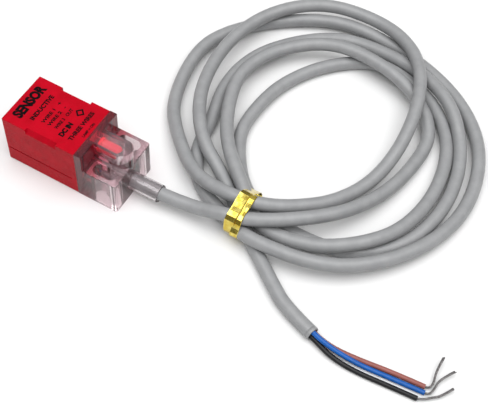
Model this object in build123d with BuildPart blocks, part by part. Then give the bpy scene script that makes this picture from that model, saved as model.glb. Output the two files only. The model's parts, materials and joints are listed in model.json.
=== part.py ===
from build123d import *

import os
from math import cos, pi, radians, sin, tan

# Square inductive proximity sensor with a coiled three-core cable.
# Millimetres. The origin is the middle of the sensor's underside, +Z is up, and +X runs from the
# sensing face to the cable.

# ---- driving dimensions: sensor body ----
body_length = 37.0
body_width = 18.0
body_height = 18.0
case_length = 24.0          # opaque front case, sensing face to clear cap
case_wall = 1.5
face_wall = 0.8             # thin wall in front of the coil
edge_round = 0.3

notch_start = 8.0           # from the sensing face
notch_length = 10.0
notch_width = 1.0
notch_drop = 1.7
groove_height = 5.3
groove_size = 0.45
groove_stop = 1.7           # the groove ends this far before the cap

flange_thickness = 2.2
ear_height = 12.0
ear_corner = 0.8
dome_radius = 2.85
slot_length = 7.2           # end to end, for M3 screws
slot_width = 3.6
slot_to_rear = 5.2          # slot centre to the rear face
slot_spacing = 12.0         # between the two slots
spigot_depth = 2.0
spigot_wall = 0.8

# ---- driving dimensions: cable ----
cable_radius = 2.0
cable_height = 4.75         # where it leaves the rear face
sleeve_radius = 2.65
sleeve_bore = 2.1
sleeve_inside = 6.0
sleeve_outside = 9.0
sheath_past_sleeve = 3.5    # the sheath goes on past the sleeve, inside the cap
core_radius = 0.7           # one insulated core
core_ring = 0.85            # cores lie round the cable's axis at this radius
strand_radius = 0.3         # the bare end of a core
coil_height = 9.5

# ---- driving dimensions: electronics ----
pot_radius = 7.0
pot_length = 4.2
pot_base = 1.2
pot_wall = 1.2
post_radius = 2.6
bobbin_flange = 0.35
bobbin_gap = 0.1            # between the bobbin and the pot core
winding_inner = 3.3
winding_outer = 5.3
board_length = 17.0
board_width = 13.0
board_thickness = 1.0
board_top = 9.2
board_to_joint = 1.0        # board's rear edge to the clear cap
lamp_radius = 1.6
lamp_height = 14.55         # height of the lamp's axis
pocket_width = 4.0
pocket_end_round = 1.0

# ---- places worked out from them ----
face_x = -body_length / 2
rear_x = body_length / 2
joint_x = face_x + case_length
cap_x = joint_x + flange_thickness
middle_z = body_height / 2
cavity_height = body_height - 2 * case_wall
past = 1.0                  # how far a cutting shape reaches past what it cuts
cavity_front = face_x + face_wall
cavity_width = body_width - 2 * case_wall
pot_rear = cavity_front + pot_length
winding_rear = pot_rear - pot_base - bobbin_gap - bobbin_flange
board_middle = joint_x - board_to_joint - board_length / 2
sheath_start = rear_x - sleeve_inside - sheath_past_sleeve

os.makedirs("parts", exist_ok=True)


def cross_plane(x, y=0.0, z=0.0):
    """A plane across the sensor's length: its X is +Y, its Y is +Z, and it faces +X."""
    return Plane(origin=(x, y, z), x_dir=(0, 1, 0), z_dir=(1, 0, 0))


def bend_radii(route):
    """The largest tangent arc at each inner corner of a route of straight runs."""
    points = [Vector(*place) for place in route]
    radii = []
    for before, corner, after in zip(points, points[1:], points[2:]):
        run_in, run_out = corner - before, after - corner
        half_turn = radians(run_in.get_angle(run_out)) / 2
        radii.append(0.45 * min(run_in.length, run_out.length) / tan(half_turn))
    return radii


def route_wire(route):
    """Straight runs joined by tangent arcs."""
    with BuildLine():
        wire = FilletPolyline(*route, radius=bend_radii(route))
    return wire


def swept_rod(route, radius):
    """A round rod along a route."""
    wire = route_wire(route)
    with BuildPart() as rod:
        with BuildSketch(Plane(origin=wire @ 0, z_dir=wire % 0)):
            Circle(radius)
        sweep(path=wire)
    return rod.part


def report_cord(name, route, radius, part):
    """Prints a cord's bend radii and compares its volume with section times length."""
    section = pi * radius**2 * route_wire(route).length
    radii = ", ".join(f"{bend:.0f}" for bend in bend_radii(route))
    print(f"{name}: radii {radii} mm, volume {part.volume:.1f}, section times length {section:.1f}")


# ---- front case: opaque box, open at the rear ----
with BuildPart() as front_case:
    with BuildSketch(cross_plane(face_x, z=middle_z)):
        Rectangle(body_width, body_height)
    extrude(amount=case_length)
    outer_edges = front_case.edges().filter_by(Axis.X) + front_case.faces().sort_by(Axis.X)[0].edges()
    fillet(outer_edges, edge_round)
    with BuildSketch(cross_plane(cavity_front, z=middle_z)):
        Rectangle(cavity_width, cavity_height)
    extrude(amount=case_length, mode=Mode.SUBTRACT)
    for side in (-1, 1):
        top_edge = side * body_width / 2
        with BuildSketch(cross_plane(face_x + notch_start)):
            with BuildLine():
                Polyline(
                    (top_edge - side * notch_width, body_height),
                    (top_edge, body_height - notch_drop),
                    (top_edge + side * past, body_height - notch_drop),
                    (top_edge + side * past, body_height + past),
                    (top_edge - side * notch_width, body_height + past),
                    close=True,
                )
            make_face()
        extrude(amount=notch_length, mode=Mode.SUBTRACT)
    with BuildSketch(Plane.XY.offset(groove_height)):
        groove_run = case_length - groove_stop
        with Locations((face_x + groove_run / 2, 0)):
            Rectangle(groove_run, body_width)
        with Locations((face_x + groove_size + groove_run / 2, 0)):
            Rectangle(groove_run, body_width - 2 * groove_size, mode=Mode.SUBTRACT)
    extrude(amount=groove_size, mode=Mode.SUBTRACT)
front_case.part.label = "front_case"

# ---- rear cap: clear flange, two slotted ears, a dome and a spigot that fits the case ----
with BuildPart() as rear_cap:
    with BuildSketch(cross_plane(joint_x, z=middle_z)):
        Rectangle(body_width, body_height)
    extrude(amount=flange_thickness)
    with BuildSketch(Plane.XY):
        with Locations(((cap_x + rear_x) / 2, 0)):
            Rectangle(rear_x - cap_x, body_width)
    extrude(amount=ear_height)
    rear_corners = rear_cap.edges().filter_by(Axis.Z).group_by(Axis.X)[-1]
    fillet(rear_corners, ear_corner)
    outer_edges = rear_cap.faces().sort_by(Axis.X)[-1].edges().sort_by(Axis.Z)[-1]
    fillet(outer_edges, edge_round)
    with BuildSketch(Plane.XY):
        dome_end = rear_x - dome_radius
        with Locations(((cap_x + dome_end) / 2, 0)):
            Rectangle(dome_end - cap_x, 2 * dome_radius)
        with Locations((dome_end, 0)):
            Circle(dome_radius)
    extrude(amount=body_height)
    with BuildSketch(Plane.XY):
        with Locations((rear_x - slot_to_rear, 0)):
            with GridLocations(0, slot_spacing, 1, 2):
                SlotOverall(slot_length, slot_width)
    extrude(amount=ear_height, mode=Mode.SUBTRACT)
    with BuildSketch(cross_plane(joint_x - spigot_depth, z=middle_z)):
        Rectangle(cavity_width, cavity_height)
        Rectangle(cavity_width - 2 * spigot_wall, cavity_height - 2 * spigot_wall,
                  mode=Mode.SUBTRACT)
    extrude(amount=spigot_depth)
    with BuildSketch(Plane.XY.offset(lamp_height - pocket_width / 2)):
        pocket_end = rear_x - dome_radius - pocket_end_round
        with Locations(((joint_x + pocket_end) / 2, 0)):
            Rectangle(pocket_end - joint_x, pocket_width)
        with Locations((pocket_end, 0)):
            Ellipse(pocket_end_round, pocket_width / 2)
    extrude(amount=pocket_width, mode=Mode.SUBTRACT)
    with BuildSketch(cross_plane(joint_x, z=cable_height)):
        Circle(cable_radius)
    extrude(amount=rear_x - joint_x, mode=Mode.SUBTRACT)
    with BuildSketch(cross_plane(rear_x - sleeve_inside, z=cable_height)):
        Circle(sleeve_radius)
    extrude(amount=sleeve_inside, mode=Mode.SUBTRACT)
rear_cap.part.label = "rear_cap"

# ---- sensing coil: ferrite pot, bobbin, winding and two leads ----
coil_lead_side = 2.5
coil_lead_height = middle_z + 3.4
coil_lead_radius = 0.15
lead_hole = 0.3

with BuildPart() as ferrite_core:
    with BuildSketch(cross_plane(cavity_front, z=middle_z)):
        Circle(pot_radius)
    extrude(amount=pot_length)
    with BuildSketch(cross_plane(cavity_front, z=middle_z)):
        Circle(pot_radius - pot_wall)
        Circle(post_radius, mode=Mode.SUBTRACT)
    extrude(amount=pot_length - pot_base, mode=Mode.SUBTRACT)
    with BuildSketch(cross_plane(cavity_front, z=coil_lead_height)):
        with GridLocations(2 * coil_lead_side, 0, 2, 1):
            Circle(lead_hole)
    extrude(amount=pot_length, mode=Mode.SUBTRACT)
ferrite_core.part.label = "ferrite_core"

bobbin_front = cavity_front + bobbin_gap
bobbin_length = winding_rear + bobbin_flange - bobbin_front
with BuildPart() as coil_bobbin:
    with BuildSketch(cross_plane(bobbin_front, z=middle_z)):
        Circle(pot_radius - pot_wall - bobbin_gap)
    extrude(amount=bobbin_length)
    with BuildSketch(cross_plane(bobbin_front + bobbin_flange, z=middle_z)):
        Circle(pot_radius)
        Circle(winding_inner, mode=Mode.SUBTRACT)
    extrude(amount=bobbin_length - 2 * bobbin_flange, mode=Mode.SUBTRACT)
    with BuildSketch(cross_plane(bobbin_front, z=middle_z)):
        Circle(post_radius + bobbin_gap)
    extrude(amount=bobbin_length, mode=Mode.SUBTRACT)
    with BuildSketch(cross_plane(bobbin_front, z=coil_lead_height)):
        with GridLocations(2 * coil_lead_side, 0, 2, 1):
            Circle(lead_hole)
    extrude(amount=bobbin_length, mode=Mode.SUBTRACT)
coil_bobbin.part.label = "coil_bobbin"

with BuildPart() as coil_winding:
    with BuildSketch(cross_plane(bobbin_front + bobbin_flange, z=middle_z)):
        Circle(winding_outer)
        Circle(winding_inner, mode=Mode.SUBTRACT)
    extrude(amount=bobbin_length - 2 * bobbin_flange)
coil_winding.part.label = "coil_winding"

coil_lead_inset = 1.2       # from the board's front edge to the leads
coil_lead_bend = board_middle - board_length / 2 + coil_lead_inset
coil_lead_rods = [
    swept_rod(
        [
            (winding_rear, side * coil_lead_side, coil_lead_height),
            (coil_lead_bend, side * coil_lead_side, coil_lead_height),
            (coil_lead_bend, side * coil_lead_side, board_top),
        ],
        coil_lead_radius,
    )
    for side in (-1, 1)
]
with BuildPart() as coil_leads:
    add(coil_lead_rods)
coil_leads.part.label = "coil_leads"

# ---- circuit board and what is soldered to it ----
with BuildPart() as circuit_board:
    with BuildSketch(Plane.XY.offset(board_top - board_thickness)):
        with Locations((board_middle, 0)):
            Rectangle(board_length, board_width)
    extrude(amount=board_thickness)
circuit_board.part.label = "circuit_board"

chip_x = board_middle - 2.5
chip_size = (4.9, 3.9, 1.4)
chip_lift = 0.15
chip_chamfer = 0.25
with BuildPart() as oscillator_ic:
    with BuildSketch(Plane.XY.offset(board_top + chip_lift)):
        with Locations((chip_x, 0)):
            Rectangle(chip_size[0], chip_size[1])
    extrude(amount=chip_size[2])
    chamfer(oscillator_ic.edges().group_by(Axis.Z)[-1], chip_chamfer)
oscillator_ic.part.label = "oscillator_ic"

leg_width = 0.4
leg_pitch = 1.27
leg_reach = 1.0
leg_rise = 0.6
leg_thickness = 0.15
leg_knee = 0.4              # where the leg turns down
leg_heel = leg_knee - leg_thickness
with BuildPart() as ic_legs:
    for side in (-1, 1):
        edge = side * chip_size[1] / 2
        with BuildSketch(cross_plane(chip_x - leg_width / 2, z=board_top)):
            with BuildLine():
                Polyline(
                    (edge, leg_rise),
                    (edge + side * leg_knee, leg_rise),
                    (edge + side * leg_knee, leg_thickness),
                    (edge + side * leg_reach, leg_thickness),
                    (edge + side * leg_reach, 0),
                    (edge + side * leg_heel, 0),
                    (edge + side * leg_heel, leg_rise - leg_thickness),
                    (edge, leg_rise - leg_thickness),
                    close=True,
                )
            make_face()
    legs = extrude(amount=leg_width, mode=Mode.PRIVATE)
    for place in GridLocations(leg_pitch, 0, 4, 1):
        add(place * legs)
ic_legs.part.label = "ic_legs"

transistor_x = board_middle + 4.0
transistor_y = 3.6
transistor_size = (2.5, 4.5, 1.5)
small_leg = (0.8, 0.5)      # three on one side
small_leg_pitch = 1.5
wide_leg = (0.6, 1.7)       # one on the other
transistor_leg_thickness = 0.4
with BuildPart() as output_transistor:
    with BuildSketch(Plane.XY.offset(board_top)):
        with Locations((transistor_x, transistor_y)):
            Rectangle(transistor_size[0], transistor_size[1])
    extrude(amount=transistor_size[2])
    chamfer(output_transistor.edges().group_by(Axis.Z)[-1], chip_chamfer)
output_transistor.part.label = "output_transistor"

with BuildPart() as transistor_legs:
    with BuildSketch(Plane.XY.offset(board_top)):
        with Locations((transistor_x - (transistor_size[0] + small_leg[0]) / 2, transistor_y)):
            with GridLocations(0, small_leg_pitch, 1, 3):
                Rectangle(*small_leg)
        with Locations((transistor_x + (transistor_size[0] + wide_leg[0]) / 2, transistor_y)):
            Rectangle(*wide_leg)
    extrude(amount=transistor_leg_thickness)
transistor_legs.part.label = "transistor_legs"

diode_x = board_middle + 4.0
diode_y = -3.8
diode_size = (4.2, 2.6, 2.1)
diode_chamfer = 0.3
tab_size = (0.4, 1.4, 1.1)
with BuildPart() as protection_diode:
    with BuildSketch(Plane.XY.offset(board_top)):
        with Locations((diode_x, diode_y)):
            Rectangle(diode_size[0], diode_size[1])
    extrude(amount=diode_size[2])
    chamfer(protection_diode.edges().group_by(Axis.Z)[-1], diode_chamfer)
protection_diode.part.label = "protection_diode"

with BuildPart() as diode_tabs:
    with BuildSketch(Plane.XY.offset(board_top)):
        with Locations((diode_x, diode_y)):
            with GridLocations(diode_size[0] + tab_size[0], 0, 2, 1):
                Rectangle(tab_size[0], tab_size[1])
    extrude(amount=tab_size[2])
diode_tabs.part.label = "diode_tabs"

capacitor_x = board_middle - 1.2
capacitor_y = -4.5
capacitor_size = (3.4, 1.8, 1.8)
capacitor_round = 0.15
with BuildPart() as filter_capacitor:
    with BuildSketch(Plane.XY.offset(board_top)):
        with Locations((capacitor_x, capacitor_y)):
            Rectangle(capacitor_size[0], capacitor_size[1])
    extrude(amount=capacitor_size[2])
    fillet(filter_capacitor.edges().group_by(Axis.Z)[-1], capacitor_round)
filter_capacitor.part.label = "filter_capacitor"

resistor_size = (1.25, 2.0, 0.5)
resistor_pitch = 2.2
resistor_place = (board_middle - 2.0, 4.8)
with BuildPart() as chip_resistors:
    with BuildSketch(Plane.XY.offset(board_top)):
        with Locations(resistor_place):
            with GridLocations(resistor_pitch, 0, 4, 1):
                Rectangle(resistor_size[0], resistor_size[1])
    extrude(amount=resistor_size[2])
chip_resistors.part.label = "chip_resistors"

underside = board_top - board_thickness
chip_capacitor_size = (2.0, 1.25, 0.9)
chip_capacitor_pitch = (3.2, 4.0)
chip_capacitors_x = board_middle - 3.0
with BuildPart() as chip_capacitors:
    with BuildSketch(Plane.XY.offset(underside)):
        with Locations((chip_capacitors_x, 0)):
            with GridLocations(*chip_capacitor_pitch, 3, 2):
                Rectangle(chip_capacitor_size[0], chip_capacitor_size[1])
    extrude(amount=-chip_capacitor_size[2])
chip_capacitors.part.label = "chip_capacitors"

# ---- indicator lamp lying in the dome ----
lamp_base = cap_x + 0.6         # in the dome, clear of the flange
lamp_flange = 0.9
lamp_flange_radius = 1.9
lamp_tip = rear_x - 3.4
lamp_lead_side = 1.27
lamp_lead_radius = 0.25
lamp_lead_setback = 2.3     # from the clear cap to where the leads turn down
with BuildPart() as indicator_lamp:
    with BuildSketch(Plane.XZ):
        with BuildLine():
            outline = Polyline(
                (lamp_tip, lamp_height),
                (lamp_base, lamp_height),
                (lamp_base, lamp_height + lamp_flange_radius),
                (lamp_base + lamp_flange, lamp_height + lamp_flange_radius),
                (lamp_base + lamp_flange, lamp_height + lamp_radius),
                (lamp_tip - lamp_radius, lamp_height + lamp_radius),
            )
            RadiusArc(outline @ 1, outline @ 0, lamp_radius)
        make_face()
    revolve(axis=Axis((0, 0, lamp_height), (1, 0, 0)))
indicator_lamp.part.label = "indicator_lamp"

lamp_lead_bend = joint_x - lamp_lead_setback
lamp_lead_rods = [
    swept_rod(
        [
            (lamp_base, side * lamp_lead_side, lamp_height),
            (lamp_lead_bend, side * lamp_lead_side, lamp_height),
            (lamp_lead_bend, side * lamp_lead_side, board_top),
        ],
        lamp_lead_radius,
    )
    for side in (-1, 1)
]
with BuildPart() as lamp_leads:
    add(lamp_lead_rods)
lamp_leads.part.label = "lamp_leads"

# ---- the cable's three cores inside the sensor, from the sheath's end to the board ----
core_names = ("brown", "blue", "black")
core_angles = (210, 90, 330)
core_pads = (3.4, 0.0, -3.4)
core_spread_start = joint_x - 0.3
core_pads_x = joint_x - 4.2
core_rise = 0.4


def core_offset(angle):
    """A core's place round the cable's axis, seen along the cable: sideways and up."""
    return core_ring * cos(radians(angle)), core_ring * sin(radians(angle))


inner_cores = []
for name, angle, pad in zip(core_names, core_angles, core_pads):
    sideways, up = core_offset(angle)
    start_y, start_z = -sideways, cable_height + up
    core_rod = swept_rod(
        [
            (sheath_start, start_y, start_z),
            (core_spread_start, start_y, start_z),
            (core_pads_x, pad, start_z + core_rise),
            (core_pads_x, pad, underside),
        ],
        core_radius,
    )
    with BuildPart() as inner_core:
        add(core_rod)
    inner_core.part.label = f"{name}_inner_core"
    inner_cores.append(inner_core)

# ---- potting resin: fills the case round all of that ----
board_parts = [circuit_board, oscillator_ic, ic_legs, output_transistor, transistor_legs,
               protection_diode, diode_tabs, filter_capacitor, chip_resistors, chip_capacitors]
with BuildPart() as potting_resin:
    with BuildSketch(cross_plane(cavity_front, z=middle_z)):
        Rectangle(cavity_width, cavity_height)
    extrude(amount=joint_x - spigot_depth - cavity_front)
    with BuildSketch(cross_plane(joint_x - spigot_depth, z=middle_z)):
        Rectangle(cavity_width - 2 * spigot_wall, cavity_height - 2 * spigot_wall)
    extrude(amount=spigot_depth)
    with BuildSketch(cross_plane(cavity_front, z=middle_z)):
        Circle(pot_radius)
    extrude(amount=pot_length, mode=Mode.SUBTRACT)
    for piece in board_parts + inner_cores + [coil_leads, lamp_leads]:
        add(piece.part, mode=Mode.SUBTRACT)
potting_resin.part.label = "potting_resin"

# ---- clear sleeve round the cable where it leaves the cap ----
with BuildPart() as strain_relief_sleeve:
    with BuildSketch(cross_plane(rear_x - sleeve_inside, z=cable_height)):
        Circle(sleeve_radius)
        Circle(sleeve_bore, mode=Mode.SUBTRACT)
    extrude(amount=sleeve_inside + sleeve_outside)
strain_relief_sleeve.part.label = "strain_relief_sleeve"

# ---- cable: lead to the coil, the coil as one solid, and the tail after it ----
lead_route = [(sheath_start, 0, cable_height), (31, 0, cable_height), (39, 1.2, 5.7)]
tail_route = [(60, -2.9, 2), (67, -7.4, 2), (75, -12.0, 2), (84, -15.2, 2)]

lead_rod = swept_rod(lead_route, cable_radius)
with BuildPart() as cord_lead:
    add(lead_rod)
cord_lead.part.label = "cord_lead"

tail_rod = swept_rod(tail_route, cable_radius)
with BuildPart() as cord_tail:
    add(tail_rod)
cord_tail.part.label = "cord_tail"

# The loose turns are pinched where the tie holds them, and fan out everywhere else.
coil_outside = [(50, -1.8), (70, -2.5), (92, 8), (105, 27), (105, 48), (95.5, 70), (76, 87), (50, 93),
                (26, 88), (10, 71), (5.5, 50), (9, 32), (19, 16), (33, 5)]
coil_inside = [(50, 12.8), (63, 16.5), (73, 27), (77, 43), (75, 60), (66, 71), (52, 74), (41, 67),
               (35, 53), (35.5, 38), (41, 24)]
tie_x = 50.3
tie_width = 5.0
tie_thickness = 0.35
waist_middle = (5.6, 5.2)       # sideways and up
waist_size = (13.8, 9.2)
waist_corner = 3.6
waist_gap = 0.1
waist_reach = 1.0               # the waist goes on this far past each side of the tie
around_waist = (24, 30)         # the slab that the waist is cut from
meeting_box = (14, 5, 9)        # clears the coil from a cable's end


def notch_box(end, along):
    """A box past a cable's end, so that the coil meets that end with a flat face."""
    plane = Plane(origin=end, z_dir=along)
    return plane * Box(*meeting_box, align=(Align.CENTER, Align.CENTER, Align.MIN))


lead_line = route_wire(lead_route)
tail_line = route_wire(tail_route)
coil_cuts = [notch_box(lead_line @ 1, -(lead_line % 1)), notch_box(tail_line @ 0, tail_line % 0)]
with BuildPart() as cord_coil:
    with BuildSketch(Plane.XY):
        with BuildLine():
            Spline(*coil_outside, periodic=True)
        make_face()
        with BuildLine():
            Spline(*coil_inside, periodic=True)
        make_face(mode=Mode.SUBTRACT)
    extrude(amount=coil_height)
    with BuildSketch(cross_plane(tie_x - tie_width / 2 - waist_reach)):
        with Locations(waist_middle):
            Rectangle(*around_waist)
            RectangleRounded(*waist_size, waist_corner, mode=Mode.SUBTRACT)
    extrude(amount=tie_width + 2 * waist_reach, mode=Mode.SUBTRACT)
    add(coil_cuts, mode=Mode.SUBTRACT)
cord_coil.part.label = "cord_coil"

# ---- foil twist tie round the coil's waist, with its twisted ends ----
tie_inside = (waist_size[0] + 2 * waist_gap, waist_size[1] + 2 * waist_gap)
tie_outside = (tie_inside[0] + 2 * tie_thickness, tie_inside[1] + 2 * tie_thickness)
with BuildPart() as twist_tie:
    with BuildSketch(cross_plane(tie_x - tie_width / 2)):
        with Locations(waist_middle):
            RectangleRounded(*tie_outside, waist_corner + waist_gap + tie_thickness)
            RectangleRounded(*tie_inside, waist_corner + waist_gap, mode=Mode.SUBTRACT)
    extrude(amount=tie_width)
twist_tie.part.label = "twist_tie"

tie_end_radius = 0.45
tie_end_route = [(tie_x + tie_width / 2, 10.8, 10.0), (54.4, 11.1, 10.2), (56.0, 10.7, 10.0)]
tie_end_rod = swept_rod(tie_end_route, tie_end_radius)
with BuildPart() as tie_end:
    add(tie_end_rod)
tie_end.part.label = "tie_end"

# ---- stripped end: three insulated cores and their bare strands ----
tail_end = tail_line @ 1
tail_along = tail_line % 1
tail_side = Vector(-tail_along.Y, tail_along.X, 0)
core_straight = 2.5         # each core leaves the sheath straight
core_routes = {
    "brown": [(91, -15.6, 1.0), (98, -14.9, 0.7), (106.5, -13.7, 0.7), (115.6, -12.9, 0.7)],
    "blue": [(91, -16.4, 1.9), (98, -16.3, 0.8), (106.5, -15.4, 0.7), (116.2, -14.4, 0.7)],
    "black": [(91, -18.2, 1.1), (98, -18.5, 0.7), (106.5, -17.7, 0.7), (115.2, -17, 0.7)],
}
strand_routes = {
    "brown": [(117.2, -12.4, 1.0), (117.4, -8.5, 1.4), (116.2, -2.4, 2.2)],
    "blue": [(118.0, -13.8, 0.9), (118.6, -9.4, 1.2), (121.6, -4.8, 1.8)],
    "black": [(117.0, -16.6, 0.8), (120.2, -13.2, 1.0), (122.8, -9.2, 1.5)],
}
outer_cores = []
bare_strands = []
for name, angle in zip(core_names, core_angles):
    sideways, up = core_offset(angle)
    start = tail_end - tail_side * sideways + Vector(0, 0, up)
    core_route = [tuple(start), tuple(start + tail_along * core_straight)] + core_routes[name]
    core_rod = swept_rod(core_route, core_radius)
    report_cord(f"{name}_core", core_route, core_radius, core_rod)
    with BuildPart() as outer_core:
        add(core_rod)
    outer_core.part.label = f"{name}_core"
    outer_cores.append(outer_core)
    strand_rod = swept_rod([core_route[-1]] + strand_routes[name], strand_radius)
    with BuildPart() as bare_strand:
        add(strand_rod)
    bare_strand.part.label = f"{name}_strands"
    bare_strands.append(bare_strand)

report_cord("cord_lead", lead_route, cable_radius, cord_lead.part)
report_cord("cord_tail", tail_route, cable_radius, cord_tail.part)

sub_parts = [front_case, rear_cap, ferrite_core, coil_bobbin, coil_winding, coil_leads, indicator_lamp,
             lamp_leads, potting_resin, strain_relief_sleeve, cord_lead, cord_coil, cord_tail, twist_tie,
             tie_end]
for piece in sub_parts + board_parts + inner_cores + outer_cores + bare_strands:
    export_step(piece.part, f"parts/{piece.part.label}.step")
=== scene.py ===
import json
from math import cos, pi, radians, sin

import bmesh
import bpy
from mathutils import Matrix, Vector, noise


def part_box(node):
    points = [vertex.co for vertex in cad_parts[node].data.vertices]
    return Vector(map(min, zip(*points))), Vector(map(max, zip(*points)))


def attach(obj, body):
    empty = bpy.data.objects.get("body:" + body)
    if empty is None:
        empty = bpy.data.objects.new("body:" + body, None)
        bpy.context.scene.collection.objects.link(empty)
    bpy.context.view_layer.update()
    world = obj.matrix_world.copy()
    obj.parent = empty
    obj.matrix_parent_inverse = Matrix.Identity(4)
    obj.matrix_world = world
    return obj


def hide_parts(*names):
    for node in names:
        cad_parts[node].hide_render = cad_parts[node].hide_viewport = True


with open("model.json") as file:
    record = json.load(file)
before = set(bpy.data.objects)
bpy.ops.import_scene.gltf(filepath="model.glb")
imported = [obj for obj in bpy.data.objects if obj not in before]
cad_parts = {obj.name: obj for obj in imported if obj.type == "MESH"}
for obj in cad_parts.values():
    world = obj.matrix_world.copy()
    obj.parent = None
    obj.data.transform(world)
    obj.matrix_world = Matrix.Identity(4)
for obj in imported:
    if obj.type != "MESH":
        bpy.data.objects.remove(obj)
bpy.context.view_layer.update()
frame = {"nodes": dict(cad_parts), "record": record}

# Looks of a square proximity sensor with a coiled three-core cable. Metres, in the row frame: +X runs
# from the sensing face to the cable, and +Z is up through the lamp.

MM = 0.001

# ---- places, read from the frame ----
cap_low, cap_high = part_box("rear_cap")
sleeve_low, sleeve_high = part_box("strain_relief_sleeve")
tail_low, tail_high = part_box("cord_tail")
tie_low, tie_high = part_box("twist_tie")
mounts = {mount["name"]: mount for mount in frame["record"]["mounts"]}

cable_radius = (tail_high.z - tail_low.z) / 2
cable_height = (sleeve_low.z + sleeve_high.z) / 2
case_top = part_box("front_case")[1].z
tie_x = (tie_low.x + tie_high.x) / 2
ear_top = mounts["screw_slots"]["pos_m"][2]     # the slots open in the tops of the cap's two ears

# ---- sizes of the soft parts ----
core_radius = 0.7 * MM
core_ring = 0.85 * MM           # the cores lie round the cable's axis at this radius
strand_radius = 0.3 * MM
sheath_mouth = 1.2 * MM         # depth of the open end of the sheath


# =====================================================================================
# Camera
# =====================================================================================
CAMERA_PLACE = (123.1 * MM, -141.0 * MM, 255.0 * MM)
CAMERA_TURN = (33.86, -2.396, 29.834)           # degrees about X, Y and Z
CAMERA_LENS = 79.6              # millimetres, for a sensor 36 mm wide


def make_camera():
    """Looks down from the -Y side, across the coil and towards the sensor."""
    data = bpy.data.cameras.new("camera")
    data.lens = CAMERA_LENS
    data.sensor_width = 36
    data.clip_start = 0.01
    camera = bpy.data.objects.new("camera", data)
    camera.location = CAMERA_PLACE
    camera.rotation_euler = [radians(turn) for turn in CAMERA_TURN]
    bpy.context.scene.collection.objects.link(camera)
    bpy.context.scene.camera = camera


make_camera()


# =====================================================================================
# Helpers
# =====================================================================================
def add_piece(name, data, look):
    """A new object with this look that rides with the sensor."""
    piece = bpy.data.objects.new(name, data)
    bpy.context.scene.collection.objects.link(piece)
    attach(piece, "root")
    data.materials.append(look.material)
    return piece


def in_metres(places):
    """Places given in millimetres, as vectors in metres."""
    return [Vector(place) * MM for place in places]


def route_curve(name, places, radius, detail=8, round_steps=7):
    """A round cord: one NURBS spline with the route's points as its control points."""
    curve = bpy.data.curves.new(name, "CURVE")
    curve.dimensions = "3D"
    spline = curve.splines.new("NURBS")
    spline.points.add(len(places) - 1)
    for point, place in zip(spline.points, places):
        point.co = (*place, 1)
        point.radius = radius       # the bounds grow by it, so it holds the tube's real radius
    spline.order_u = 3
    spline.use_endpoint_u = True
    curve.resolution_u = detail
    curve.bevel_depth = 1.0 if radius else 0.0
    curve.bevel_resolution = round_steps
    curve.use_fill_caps = radius > 0
    return curve


def spline_line(places, detail=8):
    """The points of a route's NURBS spline."""
    curve = route_curve("line", places, 0, detail)
    holder = bpy.data.objects.new("line", curve)
    bpy.context.scene.collection.objects.link(holder)
    bpy.context.view_layer.update()
    mesh = bpy.data.meshes.new_from_object(holder)
    line = [vertex.co.copy() for vertex in mesh.vertices]
    bpy.data.objects.remove(holder)
    bpy.data.meshes.remove(mesh)
    bpy.data.curves.remove(curve)
    return line


def mesh_from(build, name, smooth=True):
    """A mesh from the bmesh that a function fills."""
    shape = bmesh.new()
    build(shape)
    bmesh.ops.recalc_face_normals(shape, faces=shape.faces)
    mesh = bpy.data.meshes.new(name)
    shape.to_mesh(mesh)
    shape.free()
    mesh.polygons.foreach_set("use_smooth", [smooth] * len(mesh.polygons))
    return mesh


def skin_rings(shape, rings, close_ends=True):
    """Joins rings of places, each with as many places as the next, into a tube."""
    loops = [[shape.verts.new(place) for place in ring] for ring in rings]
    for near, far in zip(loops, loops[1:]):
        for k in range(len(near)):
            j = (k + 1) % len(near)
            shape.faces.new((near[k], near[j], far[j], far[k]))
    if close_ends:
        shape.faces.new(loops[0])
        shape.faces.new(loops[-1])


def frames_along(line):
    """(place, sideways, upwards, along) at each point of a line, turning as little as possible."""
    result = []
    side = None
    for k, place in enumerate(line):
        along = (line[min(k + 1, len(line) - 1)] - line[max(k - 1, 0)]).normalized()
        if side is None:
            side = along.cross(Vector((0, 0, 1))).normalized()
        side = (side - along * side.dot(along)).normalized()
        result.append((place, side, side.cross(along), along))
    return result


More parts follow.
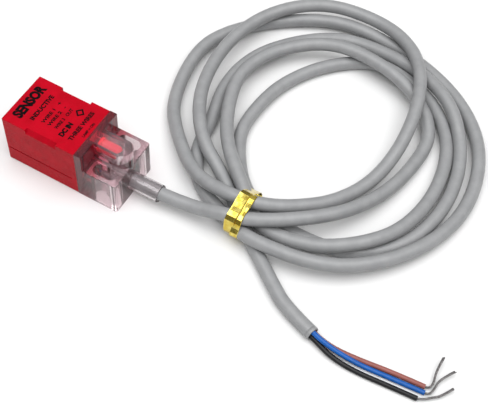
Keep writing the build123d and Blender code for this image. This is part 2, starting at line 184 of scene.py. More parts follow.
# =====================================================================================
# Materials
# =====================================================================================
class Look:
    """A procedural material: a Principled shader with node-made colour, roughness and bump."""

    def __init__(self, name, colour, roughness, **sockets):
        self.material = bpy.data.materials.new(name)
        self.material.use_nodes = True
        self.nodes = self.material.node_tree.nodes
        self.links = self.material.node_tree.links
        self.shader = self.nodes["Principled BSDF"]
        self.shader.inputs["Base Color"].default_value = (*colour, 1)
        self.shader.inputs["Roughness"].default_value = roughness
        self.colour = colour
        self.roughness = roughness
        self.normal = None
        for socket, value in sockets.items():
            self.shader.inputs[socket.replace("_", " ")].default_value = value
        self.place = self.nodes.new("ShaderNodeTexCoord").outputs["Object"]

    def stretched(self, along):
        """Object coordinates scaled along each axis, for grain that runs one way."""
        mapping = self.nodes.new("ShaderNodeMapping")
        mapping.inputs["Scale"].default_value = along
        self.links.new(self.place, mapping.inputs["Vector"])
        return mapping.outputs["Vector"]

    def noise(self, size, detail=3.0, rough=0.55, along=None):
        """Noise with features of about this size in metres, from 0 to 1."""
        texture = self.nodes.new("ShaderNodeTexNoise")
        texture.inputs["Scale"].default_value = 1 / size
        texture.inputs["Detail"].default_value = detail
        texture.inputs["Roughness"].default_value = rough
        self.links.new(self.stretched(along) if along else self.place, texture.inputs["Vector"])
        return texture.outputs["Fac"]

    def ramp(self, value, low, high, low_value, high_value):
        """Maps a value from low..high to low_value..high_value."""
        node = self.nodes.new("ShaderNodeMapRange")
        for socket, number in zip(("From Min", "From Max", "To Min", "To Max"),
                                  (low, high, low_value, high_value)):
            node.inputs[socket].default_value = number
        self.links.new(value, node.inputs["Value"])
        return node.outputs["Result"]

    def blended(self, share, other):
        """A colour that goes from the look's own to another one as the share goes from 0 to 1."""
        mix = self.nodes.new("ShaderNodeMix")
        mix.data_type = "RGBA"
        colours = [socket for socket in mix.inputs if socket.type == "RGBA"]
        colours[0].default_value = (*self.colour, 1)
        colours[1].default_value = (*other, 1)
        self.links.new(share, mix.inputs[0])
        return [socket for socket in mix.outputs if socket.type == "RGBA"][0]

    def mottle(self, size, other, low=0.35, high=0.65, along=None):
        """Base colour that drifts between the look's own and another, over this range of noise."""
        share = self.ramp(self.noise(size, along=along), low, high, 0, 1)
        self.links.new(self.blended(share, other), self.shader.inputs["Base Color"])
        return self

    def worn(self, size, spread, along=None):
        """Roughness that varies by this much either way."""
        value = self.ramp(self.noise(size, along=along), 0.3, 0.7,
                          self.roughness - spread, self.roughness + spread)
        self.links.new(value, self.shader.inputs["Roughness"])
        return self

    def coordinate(self, axis):
        """The object coordinate along X, Y or Z."""
        split = self.nodes.new("ShaderNodeSeparateXYZ")
        self.links.new(self.place, split.inputs["Vector"])
        return split.outputs[axis]

    def tinted_before(self, start_x, fade, tint):
        """Base colour that is this tint up to an x, and fades to the look's own past it."""
        share = self.ramp(self.coordinate("X"), start_x, start_x + fade, 1, 0)
        self.links.new(self.blended(share, tint), self.shader.inputs["Base Color"])
        return self

    def polished_above(self, height, fade, polished):
        """Roughness that goes from the look's own to this one, over a fade above a height."""
        value = self.ramp(self.coordinate("Z"), height, height + fade, self.roughness, polished)
        self.links.new(value, self.shader.inputs["Roughness"])
        return self

    def grain(self, size, depth, strength=1.0, along=None, detail=2.0):
        """Bump with features of this size and depth."""
        bump = self.nodes.new("ShaderNodeBump")
        bump.inputs["Strength"].default_value = strength
        bump.inputs["Distance"].default_value = depth
        self.links.new(self.noise(size, detail, along=along), bump.inputs["Height"])
        if self.normal:
            self.links.new(self.normal, bump.inputs["Normal"])
        self.normal = bump.outputs["Normal"]
        self.links.new(self.normal, self.shader.inputs["Normal"])
        return self

    def tinted_inside(self, colour, density):
        """Absorption inside a clear piece, per metre."""
        absorb = self.nodes.new("ShaderNodeVolumeAbsorption")
        absorb.inputs["Color"].default_value = (*colour, 1)
        absorb.inputs["Density"].default_value = density
        self.links.new(absorb.outputs["Volume"], self.nodes["Material Output"].inputs["Volume"])
        return self

    def lets_lamps_through(self, share_colour):
        """Shadow rays pass a clear piece with this colour."""
        clear = self.nodes.new("ShaderNodeBsdfTransparent")
        clear.inputs["Color"].default_value = (*share_colour, 1)
        mix = self.nodes.new("ShaderNodeMixShader")
        path = self.nodes.new("ShaderNodeLightPath")
        self.links.new(path.outputs["Is Shadow Ray"], mix.inputs[0])
        self.links.new(self.shader.outputs["BSDF"], mix.inputs[1])
        self.links.new(clear.outputs["BSDF"], mix.inputs[2])
        self.links.new(mix.outputs["Shader"], self.nodes["Material Output"].inputs["Surface"])
        return self


red_plastic = Look("red_plastic", (0.42, 0.002, 0.012), 0.26, Specular_IOR_Level=0.05)
red_plastic.mottle(4 * MM, (0.35, 0.0015, 0.009)).worn(2 * MM, 0.05).grain(0.5 * MM, 0.004 * MM, 0.6)

# The cap is frosted by its mould up to the tops of the ears, and polished over the lamp. Near the
# joint its base colour is painted red, a painted reflection of the red case in the clear plastic,
# which fades out past the joint.
PAINTED_CASE_REFLECTION_REACH = 4.0 * MM
PAINTED_CASE_REFLECTION_FADE = 3.0 * MM
clear_plastic = Look("clear_plastic", (0.82, 0.745, 0.76), 0.12, IOR=1.47, Transmission_Weight=0.95,
                     Coat_Weight=0.05, Coat_Roughness=0.04, Coat_IOR=1.49)
clear_plastic.tinted_before(cap_low.x + PAINTED_CASE_REFLECTION_REACH, PAINTED_CASE_REFLECTION_FADE, (0.95, 0.10, 0.19))
clear_plastic.polished_above(ear_top, MM, 0.06).grain(1.2 * MM, 0.01 * MM, 0.4)
clear_plastic.tinted_inside((0.82, 0.73, 0.75), 120).lets_lamps_through((0.84, 0.74, 0.77))

clear_pvc = Look("clear_pvc", (0.74, 0.71, 0.72), 0.05, IOR=1.53, Transmission_Weight=1.0)
clear_pvc.worn(2 * MM, 0.02).grain(2.5 * MM, 0.02 * MM, 0.3)
clear_pvc.tinted_inside((0.8, 0.74, 0.74), 60).lets_lamps_through((0.88, 0.84, 0.84))

red_lens = Look("red_lens", (0.66, 0.001, 0.032), 0.22, Specular_IOR_Level=0.1)
red_lens.mottle(0.8 * MM, (0.70, 0.20, 0.22), 0.58, 0.66, along=(0.15, 1, 1))     # pale streaks along the lamp: painted highlights
red_lens.worn(1.5 * MM, 0.05).grain(0.7 * MM, 0.01 * MM)

grey_pvc = Look("grey_pvc", (0.262, 0.265, 0.270), 0.40)
grey_pvc.mottle(3 * MM, (0.234, 0.237, 0.242)).worn(1.2 * MM, 0.06).grain(0.25 * MM, 0.006 * MM)


def core_insulation(name, colour, other, roughness, shine):
    """The soft plastic of a core, whose colour drifts between these two."""
    look = Look(name, colour, roughness, Specular_IOR_Level=shine)
    return look.mottle(2 * MM, other).worn(MM, 0.05).grain(0.2 * MM, 0.004 * MM)


brown_pvc = core_insulation("brown_pvc", (0.27, 0.085, 0.07), (0.23, 0.07, 0.055), 0.40, 0.35)
blue_pvc = core_insulation("blue_pvc", (0.006, 0.095, 0.38), (0.005, 0.08, 0.32), 0.36, 0.3)
black_pvc = core_insulation("black_pvc", (0.006, 0.006, 0.007), (0.012, 0.012, 0.014), 0.34, 0.25)

tinned_copper = Look("tinned_copper", (0.26, 0.25, 0.25), 0.38, Metallic=1.0)
tinned_copper.mottle(0.6 * MM, (0.13, 0.12, 0.12)).worn(0.5 * MM, 0.1).grain(0.15 * MM, 0.008 * MM)

gold_foil = Look("gold_foil", (0.72, 0.61, 0.16), 0.17, Metallic=1.0)
gold_foil.mottle(1.5 * MM, (0.58, 0.41, 0.05)).worn(MM, 0.06).grain(0.6 * MM, 0.012 * MM, 0.5)

ink = Look("ink", (0.003, 0.002, 0.003), 0.6, Specular_IOR_Level=0.03)
ink.mottle(0.6 * MM, (0.012, 0.004, 0.005)).worn(0.5 * MM, 0.08).grain(0.1 * MM, 0.004 * MM)

potting = Look("potting", (0.62, 0.012, 0.05), 0.35)
potting.mottle(5 * MM, (0.30, 0.008, 0.03)).worn(1.5 * MM, 0.1).grain(1.0 * MM, 0.05 * MM)

ferrite = Look("ferrite", (0.045, 0.045, 0.05), 0.6)
ferrite.mottle(MM, (0.07, 0.07, 0.075)).worn(MM, 0.08).grain(0.2 * MM, 0.01 * MM)
nylon = Look("nylon", (0.75, 0.72, 0.64), 0.45, Subsurface_Weight=0.1)
nylon.mottle(2 * MM, (0.68, 0.64, 0.56)).worn(MM, 0.05).grain(0.3 * MM, 0.004 * MM)
enamel = Look("enamelled_copper", (0.62, 0.22, 0.07), 0.3, Metallic=1.0)
enamel.mottle(0.5 * MM, (0.45, 0.13, 0.04)).worn(0.5 * MM, 0.08).grain(0.12 * MM, 0.02 * MM)
laminate = Look("board_laminate", (0.02, 0.16, 0.06), 0.4)
laminate.mottle(1.5 * MM, (0.015, 0.12, 0.045)).worn(MM, 0.08).grain(0.3 * MM, 0.01 * MM)
epoxy = Look("black_epoxy", (0.02, 0.02, 0.022), 0.55)
epoxy.mottle(0.6 * MM, (0.03, 0.03, 0.032)).worn(0.6 * MM, 0.06).grain(0.1 * MM, 0.008 * MM)
solder = Look("solder_tin", (0.68, 0.68, 0.70), 0.3, Metallic=1.0)
solder.mottle(0.5 * MM, (0.5, 0.5, 0.52)).worn(0.4 * MM, 0.1).grain(0.3 * MM, 0.02 * MM)
ceramic = Look("ceramic", (0.42, 0.32, 0.22), 0.5)
ceramic.mottle(0.6 * MM, (0.36, 0.27, 0.18)).worn(0.5 * MM, 0.08).grain(0.1 * MM, 0.006 * MM)
tantalum = Look("tantalum_case", (0.55, 0.36, 0.08), 0.45)
tantalum.mottle(MM, (0.48, 0.30, 0.06)).worn(0.6 * MM, 0.06).grain(0.15 * MM, 0.006 * MM)

NODE_LOOKS = {
    "front_case": red_plastic,
    "rear_cap": clear_plastic,
    "indicator_lamp": red_lens,
    "potting_resin": potting,
    "ferrite_core": ferrite,
    "coil_bobbin": nylon,
    "coil_winding": enamel,
    "coil_leads": enamel,
    "lamp_leads": solder,
    "circuit_board": laminate,
    "oscillator_ic": epoxy,
    "ic_legs": solder,
    "output_transistor": epoxy,
    "transistor_legs": solder,
    "protection_diode": epoxy,
    "diode_tabs": solder,
    "filter_capacitor": tantalum,
    "chip_resistors": ceramic,
    "chip_capacitors": ceramic,
    "brown_inner_core": brown_pvc,
    "blue_inner_core": blue_pvc,
    "black_inner_core": black_pvc,
}
for node_name, look in NODE_LOOKS.items():
    node = frame["nodes"][node_name]
    node.data.materials.clear()
    node.data.materials.append(look.material)


# =====================================================================================
# Cable
# =====================================================================================
# The route, in millimetres. Each turn leaves the tie, goes near, right, far and left, and comes back
# into the tie. A quarter turn with a bulge of 1 is an ellipse's, and one with less is fuller. The
# heights are those of the points after "near".
QUARTER_STEPS = 4
LEAD_IN = [(9, 0, 4.75), (18.5, 0, 4.75), (27.5, 0, 4.75), (38.5, 1, 5), (46.5, 1.5, 8.1)]
TAIL_OUT = [(55, 1.6, 2), (61.5, -3, 2), (67.5, -7.5, 2), (74, -12, 2), (84, -15.2, 2)]
TURNS = [
    {
        "leaves": (54, 3.4, 8.1), "bulge": (1, 0.95, 1.05),
        "near": (53, 6.5), "right": (84.5, 55), "far": (49.5, 75.5), "left": (24.5, 47),
        "heights": [8.5, 6.5, 3, 2, 3.5, 4.5, 6.5, 6.5, 6, 5.5, 6, 6],
        "into": [(29.5, 32.5, 6), (36, 22.5, 6), (46.5, 13.4, 6)],
    },
    {
        "leaves": (55.5, 4.6, 3.8), "bulge": (0.9, 0.9, 1.2),
        "near": (56, 3.5), "right": (93.5, 41), "far": (59, 78), "left": (34.5, 46.5),
        "heights": [5.5, 6.5, 4.5, 3, 2.5, 2.5, 2.5, 3, 2, 2, 2, 2.5],
        "into": [(34, 33.5, 2), (38.5, 24.5, 2), (45.5, 15.5, 2.1)],
    },
    {
        "leaves": (56, 9.7, 2.1), "bulge": (0.85, 0.95, 1.1),
        "near": (60, 7.5), "right": (98, 42.5), "far": (51, 83.5), "left": (21, 46),
        "heights": [2, 2, 2, 2.5, 3, 6.5, 4.5, 2, 2, 2, 3.5, 2],
        "into": [(25.5, 30.5, 2), (26.5, 20.5, 2), (33.5, 9.5, 2), (46, 4.5, 2.1)],
    },
    {
        "leaves": (54.5, -1, 6), "bulge": (1.05, 0.95, 1.15),
        "near": (61, -2), "right": (103.5, 44), "far": (49, 88.5), "left": (7.5, 51.5),
        "heights": [5.5, 4.5, 3, 2, 3, 2.5, 2, 2.5, 3, 2, 3, 3.5],
        "into": [(11, 32, 2), (20, 20.5, 4), (32.5, 9.5, 6), (46.5, 7.4, 8.9)],
    },
    {
        "leaves": (54.5, 9.2, 8.7), "bulge": (1.05, 0.95, 0.95),
        "near": (52, 11), "right": (78.5, 50), "far": (48.5, 91.5), "left": (15, 53.5),
        "heights": [7, 5, 3.5, 6, 8.5, 8.5, 6.5, 5.5, 6.5, 6.5, 6.5, 6.5],
        "into": [(18, 36, 6.5), (27, 22, 6.5), (38, 16, 3), (45.5, 10, 2)],
    },
]


def quarter(start, end, leaves_along_x, bulge):
    """Points on a quarter turn from start, without its end, as (x, y)."""
    points = []
    for k in range(QUARTER_STEPS):
        turn = pi / 2 * k / QUARTER_STEPS
        ahead, across = sin(turn) ** bulge, 1 - cos(turn) ** bulge
        share_x, share_y = (ahead, across) if leaves_along_x else (across, ahead)
        points.append((start[0] + (end[0] - start[0]) * share_x,
                       start[1] + (end[1] - start[1]) * share_y))
    return points


def coil_points():
    """The whole cable's control points, in millimetres."""
    points = list(LEAD_IN)
    for turn in TURNS:
        corners = [turn["near"], turn["right"], turn["far"], turn["left"]]
        flat = []
        for k, bulge in enumerate(turn["bulge"]):
            flat += quarter(corners[k], corners[k + 1], k != 1, bulge)
        flat.append(turn["left"])
        points.append(turn["leaves"])
        points += [(x, y, z) for (x, y), z in zip(flat[1:], turn["heights"])]
        points += turn["into"]
    return points + TAIL_OUT


cable_points = in_metres(coil_points())
tail_end = cable_points[-1]
tail_along = (tail_end - cable_points[-2]).normalized()
tail_side = Vector((-tail_along.y, tail_along.x, 0)).normalized()
sheath_start = tail_end - tail_along * sheath_mouth
cable_points[-1] = sheath_start

cable = add_piece("cable", route_curve("cable", cable_points, cable_radius), grey_pvc)
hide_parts("cord_lead", "cord_coil", "cord_tail")
cable_line = spline_line(cable_points)


SHEATH_STEPS = 40               # flats round the sheath
SHEATH_BORE = 0.8               # of the cable's radius
SHEATH_EDGE = 0.93              # share of the mouth's depth at which its edges start to round
SHEATH_ROUND = 0.04             # how far the edges round in, as a share of each radius
SHEATH_FLOOR = 0.1              # share of the mouth's depth at which the cup's floor lies
SHEATH_HEART = 0.2              # radius of the middle of the cup's back, as a share of the bore's
SHEATH_RAGGED = 0.06 * MM       # how uneven the cut is


def build_sheath_end(shape):
    """The open end of the sheath: a short cup with a slightly uneven cut."""
    bore = cable_radius * SHEATH_BORE
    edge = sheath_mouth * SHEATH_EDGE
    floor = sheath_mouth * SHEATH_FLOOR
    profile = [(0, bore * SHEATH_HEART), (0, cable_radius), (edge, cable_radius),
               (sheath_mouth, cable_radius * (1 - SHEATH_ROUND)),
               (sheath_mouth, bore * (1 + SHEATH_ROUND)), (edge, bore), (floor, bore)]
    rings = []
    for along, radius in profile:
        ring = []
        for k in range(SHEATH_STEPS):
            angle = 2 * pi * k / SHEATH_STEPS
            ragged = noise.noise(Vector((cos(angle) * 1.5, sin(angle) * 1.5, 3))) * SHEATH_RAGGED
            reach = along + (ragged if along > sheath_mouth / 2 else 0)
            ring.append(sheath_start + tail_along * reach
                        + (tail_side * cos(angle) + Vector((0, 0, 1)) * sin(angle)) * radius)
        rings.append(ring)
    skin_rings(shape, rings)


sheath_end = add_piece("sheath_end", mesh_from(build_sheath_end, "sheath_end"), grey_pvc)

SLEEVE_WALL = 0.55 * MM
SLEEVE_RIM = 0.12 * MM          # rounding of the rims
SLEEVE_STEPS = 72               # flats round the sleeve


def build_sleeve(shape):
    """The clear tube that holds the cable where it leaves the cap."""
    outer = (sleeve_high.z - sleeve_low.z) / 2
    bore = outer - SLEEVE_WALL
    start, end, rim = sleeve_low.x, sleeve_high.x, SLEEVE_RIM
    even = 3 * rim              # past these points the tube is plain, so that it shades evenly
    profile = [(start, bore + rim), (start, outer - rim), (start + rim, outer),
               (start + even, outer), (end - even, outer), (end - rim, outer),
               (end, outer - rim), (end, bore + rim), (end - rim, bore),
               (end - even, bore), (start + even, bore), (start + rim, bore)]
    rings = []
    for k in range(SLEEVE_STEPS + 1):
        angle = 2 * pi * k / SLEEVE_STEPS
        rings.append([(x, radius * cos(angle), cable_height + radius * sin(angle))
                      for x, radius in profile])
    skin_rings(shape, rings, close_ends=False)
    bmesh.ops.remove_doubles(shape, verts=list(shape.verts), dist=SLEEVE_RIM / 10)


sleeve = add_piece("cable_sleeve", mesh_from(build_sleeve, "cable_sleeve"), clear_pvc)
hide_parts("strain_relief_sleeve")


# =====================================================================================
# Cores and their bare strands
# =====================================================================================
CORE_BED = 0.3 * MM             # a core starts this far from the back of the sheath's open mouth
CORE_STRAIGHT = 2.5 * MM        # and runs straight for this length past the mouth
# Where each core lies in the cable, in degrees, and the routes of its insulated part and of its bare
# strands, in millimetres.
CORES = {
    "brown": {
        "angle": 210, "look": brown_pvc,
        "route": [(91, -15.6, 1.0), (98, -14.9, 0.7), (106.5, -13.7, 0.7), (115.6, -13.0, 0.7)],
        "strands": [(116.7, -12.9, 0.8), (117.1, -11.0, 1.0), (116.2, -7.6, 1.6), (116.5, -2.8, 2.2)],
    },
    "blue": {
        "angle": 90, "look": blue_pvc,
        "route": [(91, -16.4, 1.9), (98, -16.3, 0.8), (106.5, -15.4, 0.7), (116.2, -14.6, 0.7)],
        "strands": [(117.4, -14.5, 0.8), (117.9, -12.6, 1.0), (118.0, -9.3, 1.3), (121.1, -4.9, 1.8)],
    },
    "black": {
        "angle": 330, "look": black_pvc,
        "route": [(91, -18.2, 1.1), (98, -18.5, 0.7), (106.5, -17.7, 0.7), (115.2, -17, 0.7)],
        "strands": [(116.7, -16.4, 0.8), (118.7, -14.6, 0.9), (120.3, -13.4, 1.0), (122.6, -9.3, 1.5)],
    },
}
WIRES = 7                       # six round one in the middle
WIRE_STEPS = 7                  # flats round a wire
WIRE_LAY = 5 * MM               # the wires turn once in this length
WIRE_FLARE = 0.5                # how much the bundle opens towards its end
WIRE_SHORT = 0.05               # share of the line's length by which the wires end early
WIRE_UNEVEN = 0.06              # how much that share differs from wire to wire
wire_radius = strand_radius * 0.36
wire_ring = strand_radius * 0.68                # the outer six lie round the middle one at this radius


def build_strands(line, seed):
    """A bundle of twisted wires that opens slightly towards its end."""
    frames = frames_along(line)
    reach = [0.0]
    for near, far in zip(line, line[1:]):
        reach.append(reach[-1] + (far - near).length)
    total = reach[-1]

    def build(shape):
        for wire in range(WIRES):
            rings = []
            uneven = noise.noise(Vector((wire * 1.7, seed, 0.5))) * WIRE_UNEVEN
            wire_end = total * (1 - uneven - WIRE_SHORT)
            for (place, side, up, along), gone in zip(frames, reach):
                if gone > wire_end and len(rings) > 2:
                    break
                turn = 2 * pi * (wire / (WIRES - 1) + gone / WIRE_LAY)
                spread = 0 if wire == WIRES - 1 else wire_ring
                spread *= 1 + WIRE_FLARE * (gone / total) ** 3
                middle = place + (side * cos(turn) + up * sin(turn)) * spread
                ring = []
                for k in range(WIRE_STEPS):
                    angle = 2 * pi * k / WIRE_STEPS
                    ring.append(middle + (side * cos(angle) + up * sin(angle)) * wire_radius)
                rings.append(ring)
            skin_rings(shape, rings)
    return build


for seed, (colour, core) in enumerate(CORES.items()):
    angle = radians(core["angle"])
    offset = Vector((0, 0, sin(angle) * core_ring)) - tail_side * (cos(angle) * core_ring)
    bed = sheath_start + offset + tail_along * CORE_BED
    out = tail_end + offset
    points = [bed, out, out + tail_along * CORE_STRAIGHT] + in_metres(core["route"])
    curve = route_curve(f"{colour}_wire", points, core_radius, detail=10, round_steps=5)
    piece = add_piece(f"{colour}_wire", curve, core["look"])
    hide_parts(f"{colour}_core")
    bare_line = spline_line([points[-1]] + in_metres(core["strands"]), detail=16)
    bare_mesh = mesh_from(build_strands(bare_line, seed), colour)
    bare = add_piece(f"{colour}_bare_end", bare_mesh, tinned_copper)
    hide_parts(f"{colour}_strands")


# =====================================================================================
# Foil tie
# =====================================================================================
FOIL = 0.1 * MM                 # thickness
FOIL_GAP = 0.06 * MM            # between the cable and the foil
BESIDE_TIE = 8 * MM             # the tie doesn't hold strands farther than this past its far side
BELT_DIRECTIONS = 360           # directions in which the foil is pulled tight round the strands
BAND_STEPS = 30                 # flats round one turn of the foil
BAND_CREASE = 0.10 * MM         # depth of the creases
BAND_SWAY = 0.25 * MM           # how far the ribbon wanders along the cable
BAND_SHARES = [0, 0.08, 0.35, 0.65, 0.92, 1]    # places across the ribbon
BAND_CURL = [0.10, 0.02, 0.0, 0.0, 0.02, 0.10]  # how far each of them is lifted, in millimetres
# x of the edges of the two turns, from the middle of the tie. The first lies over the second.
FIRST_TURN = (-2.2 * MM, 0.8 * MM)
SECOND_TURN = (0.2 * MM, 2.5 * MM)


def strands_between(low_x, high_x):
    """Places on the cable's line beside the tie, between two planes."""
    return [place for place in cable_line
            if low_x <= place.x <= high_x and place.y < tie_high.y + BESIDE_TIE]


def belt(low_x, high_x, lift, count):
    """Places evenly spaced on a tight belt round the strands between two planes, as (y, z)."""
    strands = strands_between(low_x, high_x)
    dense = []
    for k in range(BELT_DIRECTIONS):
        angle = 2 * pi * k / BELT_DIRECTIONS
        outward = Vector((0, cos(angle), sin(angle)))
        farthest = max(strands, key=lambda place: place.dot(outward))
        place = farthest + outward * (cable_radius + lift)
        dense.append(Vector((place.y, max(place.z, FOIL))))
    dense.append(dense[0])
    reach = [0.0]
    for near, far in zip(dense, dense[1:]):
        reach.append(reach[-1] + (far - near).length)
    places, j = [], 0
    for k in range(count):
        wanted = reach[-1] * k / count
        while reach[j + 1] < wanted:
            j += 1
        gap = max(reach[j + 1] - reach[j], 1e-9)            # two places can be one
        share = (wanted - reach[j]) / gap
        places.append(dense[j].lerp(dense[j + 1], share))
    return places


def build_band(low_x, high_x, lift, seed):
    """One turn of flat foil ribbon with slightly lifted edges and a few creases across it."""
    def build(shape):
        places = belt(low_x, high_x, lift, BAND_STEPS)
        centre = sum(places, Vector((0, 0))) / len(places)
        grid = []
        for k, place in enumerate(places):
            outward = (place - centre).normalized()
            crease = noise.noise(Vector((k * 1.3, seed, 2))) * BAND_CREASE
            sway = noise.noise(Vector((k * 0.3, seed, 9))) * BAND_SWAY
            row = []
            for share, curl in zip(BAND_SHARES, BAND_CURL):
                tilt = noise.noise(Vector((k * 0.8, share * 2, seed + 4))) * BAND_CREASE
                y, z = place + outward * (curl * MM + crease + tilt)
                x = low_x + (high_x - low_x) * share + sway
                row.append(shape.verts.new((x, y, max(z, FOIL))))
            grid.append(row)
        for k in range(BAND_STEPS):
            j = (k + 1) % BAND_STEPS
            for c in range(len(BAND_SHARES) - 1):
                shape.faces.new((grid[k][c], grid[k][c + 1], grid[j][c + 1], grid[j][c]))
    return build


def add_band(name, edges, lift, seed):
    """One turn of foil between two edges, this far above the strands."""
    low_x, high_x = [tie_x + edge for edge in edges]
    data = mesh_from(build_band(low_x, high_x, lift, seed), name, smooth=False)
    band = add_piece(name, data, gold_foil)
    thick = band.modifiers.new("thickness", "SOLIDIFY")
    thick.thickness = FOIL
    thick.offset = 0
    return band


tie_band = add_band("tie_band", FIRST_TURN, FOIL_GAP + 2 * FOIL, 1.0)
tie_band_outer = add_band("tie_band_outer", SECOND_TURN, FOIL_GAP, 5.0)
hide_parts("twist_tie")

TWIST_ROUTE = [(51.6, 10.3, 10.3), (52.6, 10.7, 10.1), (53.5, 11.0, 9.6)]       # millimetres
TWIST_WIDTH = 0.7 * MM
TWIST_THICK = 0.35 * MM
TWIST_TAPER = 0.3               # share of the width that is lost towards the tip
TWIST_RIGHT, TWIST_LEFT = 0.3, 0.4              # the flats' corners, as shares of half the width


def build_twist(shape):
    """The tie's two ends, twisted together into a crumpled flat strip."""
    line = spline_line(in_metres(TWIST_ROUTE), detail=14)
    rings = []
    for k, (place, side, up, along) in enumerate(frames_along(line)):
        share = k / (len(line) - 1)
        turn = 2 * pi * share
        wide = (side * cos(turn) + up * sin(turn)) * TWIST_WIDTH / 2 * (1 - TWIST_TAPER * share)
        thin = (up * cos(turn) - side * sin(turn)) * TWIST_THICK / 2
        right, left = wide * TWIST_RIGHT, wide * TWIST_LEFT
        rings.append([place + wide, place + right + thin, place - left + thin,
                      place - wide, place - right - thin, place + left - thin])
    skin_rings(shape, rings)


tie_twist = add_piece("tie_twist", mesh_from(build_twist, "tie_twist", smooth=False), gold_foil)
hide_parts("tie_end")


# =====================================================================================
# Print on the top face: generic words and a plain diamond symbol
# =====================================================================================
PRINT_HEIGHT = 0.015 * MM       # how far the ink stands up from the case
# Words, x of the letters' feet, letter height, first and last y, in millimetres, and boldness.
PRINT_ROWS = [
    ("SENSOR", -13.7, 3.4, -6.4, 6.3, 0.06),
    ("INDUCTIVE", -10.4, 1.5, -5.0, 5.0, 0.045),
    ("WIRE 1   +", -7.4, 1.1, -4.4, 4.2, 0.035),
    ("WIRE 2   -", -5.4, 1.1, -4.3, 3.6, 0.035),
    ("WIRE 3   OUT", -3.2, 1.1, -4.2, 3.9, 0.035),
    ("DC IN", -0.3, 1.7, -5.5, -0.3, 0.07),
    ("THREE WIRES", 2.5, 1.4, -5.4, 6.0, 0.045),
    ("LAMP = ON", 4.7, 0.9, -2.6, 2.9, 0.035),
]
SYMBOL_CENTRE = (-1.2, 4.0)     # millimetres
SYMBOL_SIZE = 1.5               # from its centre to a corner
SYMBOL_HOLE = 0.55              # size of the diamond's open middle, as a share
SYMBOL_CORNERS = [(0, 1), (1, 0), (0, -1), (-1, 0)]


def printed_row(words, foot_x, height, first_y, last_y, bold):
    """A mesh of one row of letters, which read along +Y with their tops towards the sensing face."""
    text = bpy.data.curves.new("row", "FONT")
    text.body = words
    text.offset = bold
    text.resolution_u = 3
    holder = bpy.data.objects.new("row", text)
    bpy.context.scene.collection.objects.link(holder)
    bpy.context.view_layer.update()
    mesh = bpy.data.meshes.new_from_object(holder)
    bpy.data.objects.remove(holder)
    low_x = min(vertex.co.x for vertex in mesh.vertices)
    high_x = max(vertex.co.x for vertex in mesh.vertices)
    low_y = min(vertex.co.y for vertex in mesh.vertices)
    high_y = max(vertex.co.y for vertex in mesh.vertices)
    for vertex in mesh.vertices:
        reading = (vertex.co.x - low_x) / (high_x - low_x)
        rising = (vertex.co.y - low_y) / (high_y - low_y)
        vertex.co = Vector((foot_x - rising * height, first_y + reading * (last_y - first_y),
                            0)) * MM
    return mesh


def symbol_outline(shape, size):
    """The four corners of a diamond of this size on the symbol's centre."""
    middle = Vector((*SYMBOL_CENTRE, 0))
    return [shape.verts.new((middle + Vector((x, y, 0)) * size) * MM) for x, y in SYMBOL_CORNERS]


def build_print(shape):
    """All the rows and the symbol, as one thin layer on the case's top face."""
    for row in PRINT_ROWS:
        shape.from_mesh(printed_row(*row))
    outer = symbol_outline(shape, SYMBOL_SIZE)
    inner = symbol_outline(shape, SYMBOL_SIZE * SYMBOL_HOLE)
    for k in range(len(SYMBOL_CORNERS)):
        j = (k + 1) % len(SYMBOL_CORNERS)
        shape.faces.new((outer[k], outer[j], inner[j], inner[k]))
    for face in shape.faces:
        if face.normal.z < 0:
            face.normal_flip()
    skin = bmesh.ops.extrude_face_region(shape, geom=list(shape.faces))
    tops = [item for item in skin["geom"] if isinstance(item, bmesh.types.BMVert)]
    bmesh.ops.translate(shape, verts=tops, vec=(0, 0, PRINT_HEIGHT))
    bmesh.ops.translate(shape, verts=list(shape.verts), vec=(0, 0, case_top))


add_piece("face_print", mesh_from(build_print, "face_print", smooth=False), ink)


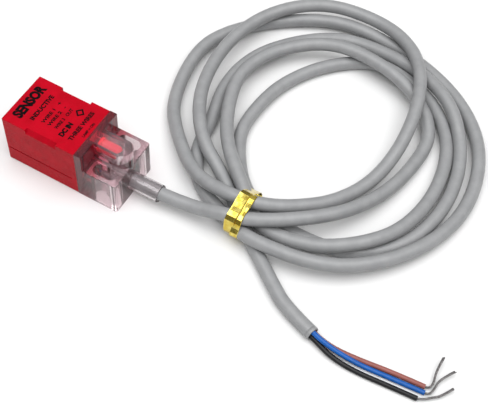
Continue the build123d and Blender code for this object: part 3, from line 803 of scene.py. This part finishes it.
# =====================================================================================
# Floor and lights
# =====================================================================================
MIDDLE_X, MIDDLE_Y = 0.05, 0.03                 # between the sensor and the coil
FLOOR_SIZE = 2.0
FLOOR_GAP = 0.02 * MM           # the floor is this far below the cable
WORLD_HORIZON = 0.16            # the studio's walls are dark and its ceiling is bright
WORLD_ZENITH = 0.78
WORLD_RISE = 0.05               # height on a unit sphere at which the brightening starts


def add_floor():
    """A pale, even floor."""
    def build(shape):
        bmesh.ops.create_grid(shape, x_segments=1, y_segments=1, size=FLOOR_SIZE)
    floor = bpy.data.objects.new("floor", mesh_from(build, "floor"))
    bpy.context.scene.collection.objects.link(floor)
    floor.location = (MIDDLE_X, MIDDLE_Y, -FLOOR_GAP)
    look = Look("floor", (0.72, 0.72, 0.72), 0.9)
    look.mottle(0.3, (0.71, 0.71, 0.71))
    floor.data.materials.append(look.material)


def add_area_light(name, place, size, power):
    """A white rectangular light of this size in metres and power in watts, aimed at the middle."""
    data = bpy.data.lights.new(name, "AREA")
    data.shape = "RECTANGLE"
    data.size, data.size_y = size
    data.energy = power
    light = bpy.data.objects.new(name, data)
    light.location = place
    towards = Vector((MIDDLE_X, MIDDLE_Y, 0)) - Vector(place)
    light.rotation_euler = towards.to_track_quat("-Z", "Y").to_euler()
    bpy.context.scene.collection.objects.link(light)


def add_studio():
    """A world that brightens with height, a large key light overhead and a weak fill light."""
    world = bpy.data.worlds.new("studio")
    world.use_nodes = True
    nodes, links = world.node_tree.nodes, world.node_tree.links
    direction = nodes.new("ShaderNodeTexCoord").outputs["Generated"]
    split = nodes.new("ShaderNodeSeparateXYZ")
    links.new(direction, split.inputs["Vector"])
    rise = nodes.new("ShaderNodeMapRange")
    for socket, number in (("From Min", WORLD_RISE), ("From Max", 1), ("To Min", WORLD_HORIZON),
                           ("To Max", WORLD_ZENITH)):
        rise.inputs[socket].default_value = number
    links.new(split.outputs["Z"], rise.inputs["Value"])
    background = nodes["Background"]
    background.inputs["Color"].default_value = (1, 1, 1, 1)
    links.new(rise.outputs["Result"], background.inputs["Strength"])
    bpy.context.scene.world = world
    add_area_light("key", (0.10, -0.05, 0.70), (1.0, 0.7), 6.9)
    add_area_light("fill", (0.55, -0.40, 0.45), (0.5, 0.5), 0.5)
    bpy.context.scene.view_settings.view_transform = "Standard"


add_floor()
add_studio()

bpy.context.view_layer.update()
